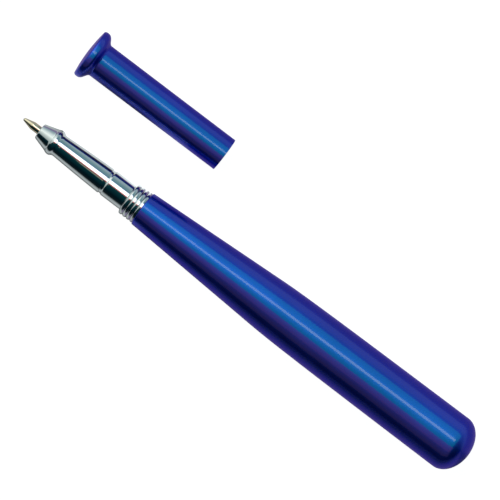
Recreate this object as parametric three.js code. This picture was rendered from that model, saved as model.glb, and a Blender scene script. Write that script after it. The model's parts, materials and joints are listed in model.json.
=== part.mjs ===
// A ballpoint pen in the form of a baseball bat, in millimetres with +Z up. The blue barrel is the fat end
// of the bat. The cap is the handle and the knob, and it lies taken off beside the pen, as thick over the
// chromed section as the barrel's mouth is, so that pen and cap make one whole bat when it is pushed on.
// Both lie on the plane z = 0, and the origin is under the middle of the two.
//
// Every turned piece is drawn as an outline of stations along the pen's axis and radii from it. Stations
// of the pen start at the front of the writing ball, and stations of the cap at the end face of the knob.

import * as THREE from 'three';

// Facets round the turned pieces, and steps along each curve of an outline
const casingSides = 40;
const innerSides = 20;
const curveSteps = 4;
const barrelSteps = 5;

// Fits between pieces
const pressGap = 0.05;
const runningGap = 0.1;
const seatGap = 0.1;

// Writing ball, and the point that holds it
const ballRadius = 0.4;
const ballProud = 0.24;
const socketGap = 0.03;
const socketLip = 0.07;
const inkChannelRadius = 0.15;
const pointConeLength = 2.93;
const shankRadius = 1.2;
const pointReach = 5.6;
const tailLength = 4;

// Ink tube of the refill
const tubeRadius = 1.6;
const tubeWall = 0.5;
const tubeLength = 91;
const inkLength = 62;
const tubeRoom = 0.15;

// Nose cone
const noseLength = 4.46;
const noseFaceRadius = 2.34;
const noseRearRadius = 3.75;
const noseHollow = 0.15;
const noseEdge = 0.15;
const noseHoleLength = 3.2;
const noseSpigotRadius = 2.5;
const noseSpigotLength = 3;

// Sleeve behind the grip: a spigot, the snap groove, the polished length, the seat of the collar and the
// tenon that screws into the barrel
const sleeveRadius = 3.98;
const sleeveLength = 6.71;
const sleeveSpigotRadius = 2.9;
const sleeveSpigotLength = 4.5;
const sleeveEdge = 0.1;
const snapGrooveWidth = 0.9;
const snapGrooveDepth = 0.26;
const collarSeatStep = 0.43;
const tenonStep = 0.25;
const tenonLength = 6.3;
const tenonEdge = 0.4;

// Grip: a bead at its front, a waist behind it and a slightly swollen taper up to the snap groove
const gripLength = 18.49;
const beadInset = 0.05;
const beadFrontStep = 0.16;
const beadCrest = 0.85;
const beadLength = 2.6;
const waistRadius = 3.32;
const gripRearInset = 0.03;
const gripSwell = 0.05;
const gripEdge = 0.1;

// Ribbed collar
const ringCount = 4;
const ringPitch = 1.25;
const ringHeight = 0.43;
const firstRingCrest = 0.8;
const collarLength = 5;
const collarFaceStep = 0.3;

// Cap: a thin blue shell with a plastic liner inside
const capLength = 47.27;
const capWall = 0.55;
const capTaper = 0.06;
const capEdge = 0.12;
const tipRoom = 0.9;
const linerWall = 0.32;
const linerRecess = 0.4;
const snapRidgeHeight = 0.2;
const snapRidgeWidth = 0.7;

// Knob at the end of the cap
const knobFlare = 2.33;
const knobFaceRise = 0.9;
const knobRimRound = 0.29;
const knobRimStation = 1.45;
const knobFlankStation = 3.05;
const knobFootStation = 4.9;

// Barrel: mouth, straight taper, shoulder and long body, and the domed end
const ringInset = 0.07;
const mouthStep = 0.21;
const mouthEdge = 0.3;
const barrelWall = 0.8;
const taperLength = 43.7;
const taperRise = 2.37;
const bodyLength = 62.8;
const bodyRise = 0.63;
const bodySlope = 0.003;
const shoulderReach = 7;
const bodyReach = 40;
const domeLength = 6.1;

// Plastic insert in the barrel: the threaded socket and the guide tube of the refill
const insertRecess = 0.3;
const insertWall = 0.8;
const insertLength = 8;
const threadEndRoom = 0.6;
const guideWall = 1.05;
const guideRoom = 0.35;
const guideEndWall = 1;

// Spring behind the refill
const springSpace = 10;
const springTurns = 8;
const springStepsPerTurn = 12;
const springWireRadius = 0.2;
const springWireSides = 6;

// How the cap lies beside the pen
const capSideways = 25.5;
const capKnobStation = 3;

// Stations along the pen
const socketFront = ballProud;
const shankFront = socketFront + pointConeLength;
const noseFront = pointReach;
const noseStep = noseFront + noseHoleLength;
const tubeFront = noseStep + seatGap;
const tubeRear = tubeFront + tubeLength;
const noseRear = noseFront + noseLength;
const gripFront = noseRear + pressGap;
const beadStation = gripFront + beadCrest;
const gripRear = noseRear + gripLength;
const grooveFront = gripRear + pressGap;
const grooveRear = gripRear + snapGrooveWidth;
const sleeveRear = grooveRear + sleeveLength;
const collarFront = sleeveRear + pressGap;
const collarRear = sleeveRear + collarLength;
const barrelFront = collarRear + pressGap;
const tenonRear = barrelFront + tenonLength;
const insertFront = barrelFront + insertRecess;
const insertRear = insertFront + insertLength;
const guideInnerRear = tubeRear + springSpace;
const guideRear = guideInnerRear + guideEndWall;
const taperRear = barrelFront + taperLength;
const bodyRear = taperRear + bodyLength;
const barrelRear = bodyRear + domeLength;
const capBoreFront = capLength - collarFront - tipRoom;

// Radii that follow from a neighbour's
const boreRadius = tubeRadius + tubeRoom;
const noseHoleRadius = shankRadius + runningGap;
const beadRadius = sleeveRadius - beadInset;
const gripRearRadius = sleeveRadius - gripRearInset;
const collarSeatRadius = sleeveRadius - collarSeatStep;
const tenonRadius = collarSeatRadius - tenonStep;
const linerInnerRadius = sleeveRadius + runningGap;
const linerOuterRadius = linerInnerRadius + linerWall;
const capBoreRadius = linerOuterRadius + pressGap;
const capRadius = capBoreRadius + capWall;
const capFootRadius = capRadius + capTaper;
const knobRadius = capFootRadius + knobFlare;
const ringCrestRadius = capRadius - ringInset;
const ringValleyRadius = ringCrestRadius - ringHeight;
const mouthRadius = capRadius + mouthStep;
const taperRearRadius = mouthRadius + taperRise;
const bodyRadius = taperRearRadius + bodyRise;
const threadBoreRadius = tenonRadius + runningGap;
const insertRadius = threadBoreRadius + insertWall;
const mouthBoreRadius = insertRadius + pressGap;
const guideBoreRadius = tubeRadius + guideRoom;
const guideRadius = guideBoreRadius + guideWall;

const taperSlope = taperRise / taperLength;

// Turns an outline of stations and radii about the X axis, with a facet straight below the axis.
function turned(outline, sides, steps = curveSteps) {
  const corners = outline.getPoints(steps);
  if (THREE.ShapeUtils.area(corners) > 0) {
    corners.reverse();
  }
  const profile = corners.map((corner) => new THREE.Vector2(Math.max(corner.y, 0), corner.x));
  const geometry = new THREE.LatheGeometry(profile, sides, Math.PI / sides);
  geometry.rotateZ(-Math.PI / 2);
  return geometry;
}

function outlineFrom(station, radius) {
  const outline = new THREE.Path();
  outline.moveTo(station, radius);
  return outline;
}

// The tilt at which a turned piece lies on a table, touching it with one corner of its outline, given by
// its station and radius, and with whichever corner of the outline the table meets next. A flat facet
// lies underneath, a little nearer the axis than the corners of the facets.
function restingTilt(corners, station, radius) {
  const facetShare = Math.cos(Math.PI / casingSides);
  const slopes = corners
    .filter((corner) => corner.x !== station)
    .map((corner) => (corner.y - radius) / Math.abs(corner.x - station));
  return Math.atan(Math.max(...slopes) * facetShare);
}

// Finishes of the pieces
function blueAnodised() {
  return new THREE.MeshStandardMaterial({ color: 0x1e35a8, roughness: 0.28, metalness: 0.85 });
}

function mirrorChrome() {
  return new THREE.MeshStandardMaterial({ color: 0xd9dde0, roughness: 0.06, metalness: 1 });
}

function nickelSilver() {
  return new THREE.MeshStandardMaterial({ color: 0xd9c9a4, roughness: 0.15, metalness: 1 });
}

function hardSteel() {
  return new THREE.MeshStandardMaterial({ color: 0x9a9ca0, roughness: 0.2, metalness: 1 });
}

function springSteel() {
  return new THREE.MeshStandardMaterial({ color: 0xb4b6b8, roughness: 0.3, metalness: 1 });
}

function clearPlastic() {
  return new THREE.MeshStandardMaterial({ color: 0xe6ebee, roughness: 0.3, metalness: 0 });
}

function blackPlastic() {
  return new THREE.MeshStandardMaterial({ color: 0x16171a, roughness: 0.6, metalness: 0 });
}

function whitePlastic() {
  return new THREE.MeshStandardMaterial({ color: 0xe9e9e4, roughness: 0.5, metalness: 0 });
}

function blueInk() {
  return new THREE.MeshStandardMaterial({ color: 0x0b1040, roughness: 0.4, metalness: 0 });
}

// The refill's ball turns in its socket.
function pointBall() {
  const ball = new THREE.SphereGeometry(ballRadius, innerSides, innerSides / 2);
  ball.translate(ballRadius, 0, 0);
  return ball;
}

// The point is one turned piece: a socket with a thin lip round the ball, a slender cone, the shank that
// fills the nose's hole, and a tail pressed into the ink tube. The ink channel runs through it.
function refillPoint() {
  const socketRadius = ballRadius + socketGap;
  const lipStation = socketFront - ballRadius;
  const lipRadius = Math.sqrt(socketRadius ** 2 - lipStation ** 2);
  const lipAngle = Math.atan2(lipRadius, lipStation);
  const channelAngle = Math.asin(inkChannelRadius / socketRadius);
  const tailRadius = tubeRadius - tubeWall - pressGap;
  const shankRear = tubeFront - pressGap;
  const tailRear = shankRear + tailLength;
  const outline = outlineFrom(socketFront, lipRadius + socketLip);
  outline.lineTo(shankFront, shankRadius);
  outline.lineTo(shankRear, shankRadius);
  outline.lineTo(shankRear, tailRadius);
  outline.lineTo(tailRear, tailRadius);
  outline.lineTo(tailRear, inkChannelRadius);
  outline.absarc(ballRadius, 0, socketRadius, channelAngle, lipAngle, false);
  outline.closePath();
  return turned(outline, innerSides);
}

function refillTube() {
  const outline = outlineFrom(tubeFront, tubeRadius - tubeWall);
  outline.lineTo(tubeFront, tubeRadius);
  outline.lineTo(tubeRear, tubeRadius);
  outline.lineTo(tubeRear, tubeRadius - tubeWall);
  outline.closePath();
  return turned(outline, innerSides);
}

function inkColumn() {
  const inkRadius = tubeRadius - tubeWall - pressGap;
  const inkFront = tubeFront + tailLength + seatGap;
  const outline = outlineFrom(inkFront, 0);
  outline.lineTo(inkFront, inkRadius);
  outline.lineTo(inkFront + inkLength, inkRadius);
  outline.lineTo(inkFront + inkLength, 0);
  return turned(outline, innerSides);
}

// The nose cone is slightly hollow in its flank. The refill's tube stops on the step inside it.
function noseCone() {
  const middleStation = (noseFront + noseEdge + noseRear) / 2;
  const middleRadius = (noseFaceRadius + noseRearRadius) / 2 - 2 * noseHollow;
  const outline = outlineFrom(noseFront, noseHoleRadius);
  outline.lineTo(noseFront, noseFaceRadius - noseEdge);
  outline.lineTo(noseFront + noseEdge, noseFaceRadius);
  outline.quadraticCurveTo(middleStation, middleRadius, noseRear, noseRearRadius);
  outline.lineTo(noseRear, noseSpigotRadius);
  outline.lineTo(noseRear + noseSpigotLength, noseSpigotRadius);
  outline.lineTo(noseRear + noseSpigotLength, boreRadius);
  outline.lineTo(noseStep, boreRadius);
  outline.lineTo(noseStep, noseHoleRadius);
  outline.closePath();
  return turned(outline, casingSides);
}

// The grip carries the nose cone's spigot at its front and the sleeve's spigot at its rear.
function grip() {
  const waistStation = gripFront + beadLength;
  const crestReach = (waistStation - beadStation) / 2;
  const swellStation = (waistStation + gripRear) / 2;
  const swellRadius = (waistRadius + gripRearRadius) / 2 + 2 * gripSwell;
  const frontSocketRadius = noseSpigotRadius + pressGap;
  const frontSocketRear = noseRear + noseSpigotLength + seatGap;
  const rearSocketRadius = sleeveSpigotRadius + pressGap;
  const rearSocketFront = gripRear - sleeveSpigotLength - seatGap;
  const outline = outlineFrom(gripFront, frontSocketRadius);
  outline.lineTo(gripFront, beadRadius - beadFrontStep);
  outline.quadraticCurveTo(gripFront + beadCrest / 2, beadRadius, beadStation, beadRadius);
  outline.bezierCurveTo(
    beadStation + crestReach, beadRadius,
    waistStation - crestReach, waistRadius,
    waistStation, waistRadius,
  );
  outline.quadraticCurveTo(swellStation, swellRadius, gripRear - gripEdge, gripRearRadius);
  outline.lineTo(gripRear, gripRearRadius - gripEdge);
  outline.lineTo(gripRear, rearSocketRadius);
  outline.lineTo(rearSocketFront, rearSocketRadius);
  outline.lineTo(rearSocketFront, boreRadius);
  outline.lineTo(frontSocketRear, boreRadius);
  outline.lineTo(frontSocketRear, frontSocketRadius);
  outline.closePath();
  return turned(outline, casingSides);
}

// The sleeve holds the section together: grip in front, collar on its seat, tenon in the barrel.
function sectionSleeve() {
  const spigotFront = gripRear - sleeveSpigotLength;
  const grooveRadius = sleeveRadius - snapGrooveDepth;
  const outline = outlineFrom(spigotFront, boreRadius);
  outline.lineTo(spigotFront, sleeveSpigotRadius);
  outline.lineTo(grooveFront, sleeveSpigotRadius);
  outline.lineTo(grooveFront, grooveRadius);
  outline.lineTo(grooveRear, grooveRadius);
  outline.lineTo(grooveRear, sleeveRadius - sleeveEdge);
  outline.lineTo(grooveRear + sleeveEdge, sleeveRadius);
  outline.lineTo(sleeveRear, sleeveRadius);
  outline.lineTo(sleeveRear, collarSeatRadius);
  outline.lineTo(barrelFront, collarSeatRadius);
  outline.lineTo(barrelFront, tenonRadius);
  outline.lineTo(tenonRear - tenonEdge, tenonRadius);
  outline.lineTo(tenonRear, tenonRadius - tenonEdge);
  outline.lineTo(tenonRear, boreRadius);
  outline.closePath();
  return turned(outline, casingSides);
}

// Round rings stand side by side on the collar, with a sharp valley between each two.
function ribbedCollar() {
  const innerRadius = collarSeatRadius + pressGap;
  const lastCrest = collarFront + firstRingCrest + (ringCount - 1) * ringPitch;
  const outline = outlineFrom(collarFront, innerRadius);
  outline.lineTo(collarFront, ringValleyRadius - collarFaceStep);
  for (let ring = 0; ring < ringCount; ring += 1) {
    const crest = collarFront + firstRingCrest + ring * ringPitch;
    const roundEnd = ring === ringCount - 1 ? Math.acos((collarRear - lastCrest) / (ringPitch / 2)) : 0;
    outline.absellipse(crest, ringValleyRadius, ringPitch / 2, ringHeight, Math.PI, roundEnd, true);
  }
  outline.lineTo(collarRear, innerRadius);
  outline.closePath();
  return turned(outline, casingSides);
}

// The barrel is swaged from one tube with a closed end: a straight taper from the mouth, a shoulder that
// turns into the long, nearly straight body, and the dome. Inside, a wall's thickness behind the outside,
// it is as hollow as the real one, apart from the thicker mouth that holds the insert.
function barrelOutside() {
  const outline = outlineFrom(barrelFront, mouthBoreRadius);
  outline.lineTo(barrelFront, mouthRadius - mouthEdge);
  outline.quadraticCurveTo(barrelFront, mouthRadius, barrelFront + mouthEdge, mouthRadius);
  outline.lineTo(taperRear, taperRearRadius);
  outline.bezierCurveTo(
    taperRear + shoulderReach, taperRearRadius + shoulderReach * taperSlope,
    bodyRear - bodyReach, bodyRadius - bodyReach * bodySlope,
    bodyRear, bodyRadius,
  );
  outline.absellipse(bodyRear, 0, domeLength, bodyRadius, Math.PI / 2, 0, true);
  return outline;
}

function barrelShell() {
  const mouthBoreRear = insertRear + seatGap;
  const boreStepRadius = mouthRadius + taperSlope * (mouthBoreRear - barrelFront) - barrelWall;
  const outline = barrelOutside();
  outline.lineTo(barrelRear - barrelWall, 0);
  outline.absellipse(bodyRear, 0, domeLength - barrelWall, bodyRadius - barrelWall, 0, Math.PI / 2, false);
  outline.bezierCurveTo(
    bodyRear - bodyReach, bodyRadius - bodyReach * bodySlope - barrelWall,
    taperRear + shoulderReach, taperRearRadius + shoulderReach * taperSlope - barrelWall,
    taperRear, taperRearRadius - barrelWall,
  );
  outline.lineTo(mouthBoreRear + boreStepRadius - mouthBoreRadius, boreStepRadius);
  outline.lineTo(mouthBoreRear, mouthBoreRadius);
  outline.closePath();
  return turned(outline, casingSides, barrelSteps);
}

// The insert is one moulding: the socket for the section's thread, then a closed tube for the refill.
function barrelInsert() {
  const threadRear = tenonRear + threadEndRoom;
  const outline = outlineFrom(guideInnerRear, 0);
  outline.lineTo(guideInnerRear, guideBoreRadius);
  outline.lineTo(threadRear, guideBoreRadius);
  outline.lineTo(threadRear, threadBoreRadius);
  outline.lineTo(insertFront, threadBoreRadius);
  outline.lineTo(insertFront, insertRadius);
  outline.lineTo(insertRear, insertRadius);
  outline.lineTo(insertRear, guideRadius);
  outline.lineTo(guideRear, guideRadius);
  outline.lineTo(guideRear, 0);
  return turned(outline, innerSides);
}

class CoilSpring extends THREE.Curve {
  constructor(front, rear, coilRadius, turns) {
    super();
    this.front = front;
    this.rear = rear;
    this.coilRadius = coilRadius;
    this.turns = turns;
  }

  getPoint(share, target = new THREE.Vector3()) {
    const angle = share * this.turns * 2 * Math.PI;
    const station = THREE.MathUtils.lerp(this.front, this.rear, share);
    return target.set(station, this.coilRadius * Math.cos(angle), this.coilRadius * Math.sin(angle));
  }
}

// The spring bears on the end of the ink tube and on the closed end of the guide tube.
function refillSpring() {
  const coilRadius = tubeRadius - springWireRadius / 2;
  const front = tubeRear + seatGap + springWireRadius;
  const rear = guideInnerRear - seatGap - springWireRadius;
  const wire = new THREE.Shape();
  for (let side = 0; side < springWireSides; side += 1) {
    const angle = (side / springWireSides) * 2 * Math.PI;
    const x = springWireRadius * Math.cos(angle);
    const y = springWireRadius * Math.sin(angle);
    if (side === 0) {
      wire.moveTo(x, y);
    } else {
      wire.lineTo(x, y);
    }
  }
  wire.closePath();
  return new THREE.ExtrudeGeometry(wire, {
    steps: springTurns * springStepsPerTurn,
    extrudePath: new CoilSpring(front, rear, coilRadius, springTurns),
    bevelEnabled: false,
  });
}

// The shell of the cap ends in the knob, which is solid behind the bore. The bore takes the whole section
// and the point, and its mouth stops against the first ring of the collar.
function capOutside() {
  const outline = outlineFrom(0, 0);
  outline.quadraticCurveTo(0, (knobRadius - knobRimRound) / 2, knobFaceRise, knobRadius - knobRimRound);
  outline.quadraticCurveTo(knobFaceRise + knobRimRound / 4, knobRadius, knobRimStation, knobRadius);
  outline.bezierCurveTo(
    knobFlankStation, knobRadius,
    knobFlankStation, capFootRadius,
    knobFootStation, capFootRadius,
  );
  outline.lineTo(capLength - capEdge, capRadius);
  outline.lineTo(capLength, capRadius - capEdge);
  return outline;
}

function capShell() {
  const outline = capOutside();
  outline.lineTo(capLength, capBoreRadius);
  outline.lineTo(capBoreFront, capBoreRadius);
  outline.lineTo(capBoreFront, 0);
  return turned(outline, casingSides);
}

// The liner keeps the chrome from rubbing on the shell. Its ridge snaps into the groove of the sleeve.
function capLiner() {
  const linerFront = capBoreFront + seatGap;
  const linerRear = capLength - linerRecess;
  const grooveMiddle = (grooveFront + grooveRear) / 2;
  const ridgeMiddle = capLength - (collarFront - grooveMiddle);
  const ridgeHalf = snapRidgeWidth / 2;
  const outline = outlineFrom(linerFront, linerOuterRadius);
  outline.lineTo(linerRear, linerOuterRadius);
  outline.lineTo(linerRear, linerInnerRadius);
  outline.absellipse(ridgeMiddle, linerInnerRadius, ridgeHalf, snapRidgeHeight, 0, Math.PI, true);
  outline.lineTo(linerFront, linerInnerRadius);
  outline.closePath();
  return turned(outline, casingSides);
}

function piece(name, geometry, material) {
  const mesh = new THREE.Mesh(geometry, material);
  mesh.name = name;
  return mesh;
}

function groupOf(...pieces) {
  const group = new THREE.Group();
  group.add(...pieces);
  return group;
}

// Lowers or lifts a group until its lowest point touches the plane z = 0.
function layOnTable(group) {
  group.updateMatrixWorld(true);
  group.position.z -= new THREE.Box3().setFromObject(group, true).min.z;
}

// The pen rests on the bead of its grip and on the shoulder of the barrel, with its tip low.
const pen = groupOf(
  piece('barrel_shell', barrelShell(), blueAnodised()),
  piece('barrel_insert', barrelInsert(), blackPlastic()),
  piece('refill_spring', refillSpring(), springSteel()),
  piece('refill_tube', refillTube(), clearPlastic()),
  piece('ink_column', inkColumn(), blueInk()),
  piece('refill_point', refillPoint(), nickelSilver()),
  piece('point_ball', pointBall(), hardSteel()),
  piece('nose_cone', noseCone(), mirrorChrome()),
  piece('grip', grip(), mirrorChrome()),
  piece('section_sleeve', sectionSleeve(), mirrorChrome()),
  piece('ribbed_collar', ribbedCollar(), mirrorChrome()),
);
pen.rotation.y = -restingTilt(barrelOutside().getPoints(barrelSteps), beadStation, beadRadius);
layOnTable(pen);

// The cap rests on its mouth and on the rim of its knob, with the knob pointing as the pen's tip does.
const cap = groupOf(
  piece('cap_shell', capShell(), blueAnodised()),
  piece('cap_liner', capLiner(), whitePlastic()),
);
cap.rotation.y = restingTilt(capOutside().getPoints(curveSteps), capLength - capEdge, capRadius);
cap.position.set(capKnobStation, capSideways, 0);
layOnTable(cap);

const batPen = groupOf(pen, cap);
batPen.updateMatrixWorld(true);
const extent = new THREE.Box3().setFromObject(batPen, true);
const middle = extent.getCenter(new THREE.Vector3());
batPen.position.set(-middle.x, -middle.y, 0);

export default batPen;
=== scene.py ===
"""Baseball bat pen: the looks of the pen and its cap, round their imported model. For Blender 4.5, in metres.

Both are seen from straight above, with the cap taken off and lying beside the pen. Every turned piece is
drawn as an outline of stations along its middle line and radii from it, in millimetres, and then spun.
"""

import json
import math

import bpy
from mathutils import Matrix, Vector


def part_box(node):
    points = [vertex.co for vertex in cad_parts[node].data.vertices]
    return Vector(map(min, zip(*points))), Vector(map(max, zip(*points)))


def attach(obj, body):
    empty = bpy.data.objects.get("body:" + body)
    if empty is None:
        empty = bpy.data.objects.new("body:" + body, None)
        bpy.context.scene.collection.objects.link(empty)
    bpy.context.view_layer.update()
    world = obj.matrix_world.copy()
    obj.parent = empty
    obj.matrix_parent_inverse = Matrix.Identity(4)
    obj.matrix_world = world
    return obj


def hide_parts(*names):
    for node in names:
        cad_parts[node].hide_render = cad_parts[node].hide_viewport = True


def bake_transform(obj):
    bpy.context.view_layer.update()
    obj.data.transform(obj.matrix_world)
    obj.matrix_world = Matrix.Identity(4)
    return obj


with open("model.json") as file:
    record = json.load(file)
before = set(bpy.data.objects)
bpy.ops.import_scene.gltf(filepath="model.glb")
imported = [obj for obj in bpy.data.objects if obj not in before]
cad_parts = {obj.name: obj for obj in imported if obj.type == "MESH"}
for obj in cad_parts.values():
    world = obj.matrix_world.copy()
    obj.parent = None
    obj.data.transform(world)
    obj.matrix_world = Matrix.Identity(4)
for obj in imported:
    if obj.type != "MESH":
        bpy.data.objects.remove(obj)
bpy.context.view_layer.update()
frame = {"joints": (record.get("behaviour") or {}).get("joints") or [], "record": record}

MM = 0.001

# Facets round the turned pieces, and points along a curve, round a small edge, a ring and the snap ridge
CASING_SIDES = 160
INNER_SIDES = 72
THREAD_SIDES = 80
CURVE_STEPS = 28
EDGE_STEPS = 5
RING_STEPS = 18
RIDGE_STEPS = 16

# The sharpest edge that is shaded smooth, and how close points are merged
SMOOTH_LIMIT = math.radians(34)
MERGE = 1e-6

# Gaps between seated pieces, across and along the pen, and the edge of a face or a bore
SEAT_GAP = 0.05
END_GAP = 0.1
BROKEN_EDGE = 0.1

# Refill: writing ball, point, ink tube and ink
BALL_RADIUS = 0.4
BALL_PROUD = 0.24
SOCKET_GAP = 0.03
SOCKET_LIP = 0.07
INK_CHANNEL_RADIUS = 0.15
CONE_REAR = 3.17
CONE_BLEND = (0.25, 0.07)
SHANK_RADIUS = 1.2
TUBE_FRONT = 8.9
TUBE_REAR = 99.9
TUBE_RADIUS = 1.6
TUBE_BORE = 1.1
TAIL_LENGTH = 4.0
INK_LENGTH = 62.0
MENISCUS_DEPTH = 0.6

# Chromed section: nose cone, grip, sleeve and ribbed collar
NOSE_FRONT = 5.6
NOSE_REAR = 10.06
NOSE_FACE_RADIUS = 2.34
NOSE_FACE_EDGE = 0.35
NOSE_REAR_RADIUS = 3.75
NOSE_FLARE = (0.6, 0.28)
NOSE_FLARE_BEND = (0.25, 0.18)
NOSE_HOLE_RADIUS = 1.3
NOSE_STEP_DEPTH = 3.2
NOSE_SPIGOT_RADIUS = 2.5
NOSE_SPIGOT_LENGTH = 3.0
SECTION_BORE = 1.75
GRIP_FRONT = 10.11
GRIP_REAR = 28.55
BEAD_CREST = 10.96
BEAD_RADIUS = 3.93
BEAD_FRONT_DROP = 0.18
WAIST = 12.71
WAIST_RADIUS = 3.32
GRIP_SWELL = 0.1
GRIP_REAR_RADIUS = 3.95
GROOVE_FRONT = 28.60
GROOVE_REAR = 29.45
GROOVE_RADIUS = 3.72
SLEEVE_RADIUS = 3.98
SLEEVE_SPIGOT_RADIUS = 2.9
SLEEVE_SPIGOT_LENGTH = 4.5
SLEEVE_REAR = 36.16
COLLAR_FRONT = 36.21
COLLAR_REAR = 41.16
COLLAR_SEAT_RADIUS = 3.55
COLLAR_FACE_RADIUS = 4.2
RING_COUNT = 4
RING_PITCH = 1.25
RING_FIRST = 37.01
RING_VALLEY_RADIUS = 4.5
RING_HEIGHT = 0.43
TENON_FRONT = 41.21
TENON_REAR = 47.51
THREAD_PITCH = 0.75
THREAD_CREST = 3.3
THREAD_ROOT = 2.98
THREAD_SUNK = 0.06
THREAD_START = 0.45
THREAD_RUNOUT = 1.2

# Barrel and its insert
BARREL_FRONT = 41.21
MOUTH_RADIUS = 5.21
MOUTH_BORE = 4.25
MOUTH_BORE_REAR = 49.61
TAPER_REAR = 84.91
TAPER_REAR_RADIUS = 7.58
BODY_REAR = 147.71
BODY_RADIUS = 8.21
BARREL_WALL = 0.8
SHOULDER_REACH = 7.0
BODY_REACH = 40.0
BODY_SLOPE = 0.003
DOME_LENGTH = 6.1
INSERT_FRONT = 41.51
INSERT_REAR = 49.51
INSERT_RADIUS = 4.2
THREAD_BORE = 3.4
THREAD_BORE_REAR = 48.11
GUIDE_BORE = 1.95
GUIDE_RADIUS = 3.0
GUIDE_INNER_REAR = 109.9
GUIDE_REAR = 110.9

# Spring behind the refill
SPRING_FRONT = 100.2
SPRING_REAR = 109.6
SPRING_RADIUS = 1.5
SPRING_TURNS = 8
WIRE_RADIUS = 0.2
WIRE_SIDES = 12
SPRING_STEPS = 40

# Cap and its liner, by stations from the end face of the knob
CAP_LENGTH = 47.27
CAP_RADIUS = 5.0
CAP_FOOT_RADIUS = 5.06
CAP_BORE = 4.45
CAP_BORE_FRONT = 10.16
KNOB_RADIUS = 7.39
KNOB_RIM_ROUND = 0.5
KNOB_FACE_RISE = 0.52
KNOB_RIM = 1.6
KNOB_FLANK = 3.4
KNOB_FOOT = 4.5
LINER_FRONT = 10.26
LINER_REAR = 46.87
LINER_BORE = 4.08
LINER_RADIUS = 4.4
RIDGE_MIDDLE = 40.085
RIDGE_HALF = 0.35
RIDGE_HEIGHT = 0.2

# The photograph's frame: its roll against the pen, the width that it shows at the pen's height and the point
# in its middle. The camera stands so far above that perspective hardly shows.
VIEW_ROLL = math.radians(37.14)
VIEW_WIDTH = 0.1378
VIEW_MIDDLE = (-0.00516, -0.00354)
CAMERA_HEIGHT = 3.0
CAMERA_REACH = 20.0
PEN_HEIGHT = 0.006
SENSOR_WIDTH = 36.0

# Blue metal: its tones, its worn edges, its tint when seen edge-on and its roughness. Its coat is unevenly
# thick, by a depth in millimetres that grows from a least share to the whole between two places, in metres.
BLUE_TONES = ((0.008, 0.030, 0.44, 1), (0.010, 0.034, 0.49, 1))
BLUE_WORN = (0.22, 0.27, 0.62, 1)
BLUE_EDGE_ON = (0.15, 0.25, 0.85, 1)
BLUE_ROUGHNESS = 0.34
UNEVEN_DEPTH = 0.011
UNEVEN_GROWS = (0.070, 0.125)
UNEVEN_LEAST = 0.35

# Chrome plate
CHROME_TONES = ((0.56, 0.61, 0.62, 1), (0.52, 0.57, 0.58, 1))
CHROME_ROUGHNESS = 0.025

# Other finishes: colour, the colour of tarnish or of flow marks, and roughness
NICKEL_SILVER = ((0.72, 0.64, 0.46, 1), (0.55, 0.47, 0.32, 1), 0.12)
BALL_STEEL = ((0.42, 0.43, 0.45, 1), (0.30, 0.30, 0.33, 1), 0.1)
SPRING_WIRE = ((0.52, 0.53, 0.54, 1), (0.40, 0.39, 0.37, 1), 0.25)
BLACK_MOULDING = ((0.012, 0.012, 0.014, 1), (0.02, 0.02, 0.022, 1), 0.45)
CLEAR_MOULDING = ((0.86, 0.89, 0.91, 1), (0.80, 0.84, 0.87, 1), 0.18)
WHITE_MOULDING = ((0.74, 0.74, 0.70, 1), (0.68, 0.68, 0.64, 1), 0.42)
TUBE_CLEARNESS = 0.85
INK_TONES = ((0.01, 0.012, 0.10, 1), (0.02, 0.03, 0.20, 1))
INK_ROUGHNESS = (0.12, 0.2)

# Paper under the pen: its size, its colours and how it glows, for reflections and for the camera. For
# reflections the glow is painted light.
# By the section and below the pen it keeps only a share of that glow as painted shadow, and by the blue a
# share as painted shade with a painted violet tint.
FLOOR_SIZE = 8.0
PAPER_TONES = ((0.29, 0.29, 0.29, 1), (0.31, 0.31, 0.31, 1))
PAPER_ROUGHNESS = 0.9
WHITE = (1.0, 1.0, 1.0, 1)
FLOOR_GLOW = 0.55
# Painted light: the glow near the pen, and its painted shade far out on the dark side
FLOOR_GLOW_FAR = 0.02
FLOOR_GLOW_SEEN = 0.97
# Shares of the glow kept in painted shadow by the section and below the pen, and in painted shade with a
# painted violet tint by the blue
SHADOW_GLOW_BY_SECTION = 0.15
SHADOW_GLOW_BELOW_PEN = 0.3
SHADE_GLOW_BY_BLUE = 0.6
PAINTED_TINT_BY_BLUE = (0.75, 0.45, 1.0, 1)

# Where the glow changes for reflections, by X or Y in metres, each over a soft edge. A strip has two edges.
# Towards the dark side the glow fades as painted shade; the strips place the painted shadow, shade and tint.
GLOW_GROWS_Y = (-0.085, -0.030)
SHADOW_BY_SECTION_X = ((-0.071, -0.065), (-0.051, -0.041))
SHADOW_BY_SECTION_Y = ((-0.011, -0.007), (0.016, 0.022))
SHADOW_BELOW_PEN_Y = ((-0.024, -0.020), (-0.014, -0.011))
SHADE_AND_TINT_STARTS_X = (-0.038, -0.032)
SHADE_AND_TINT_STARTS_Y = (0.003, 0.009)

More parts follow.
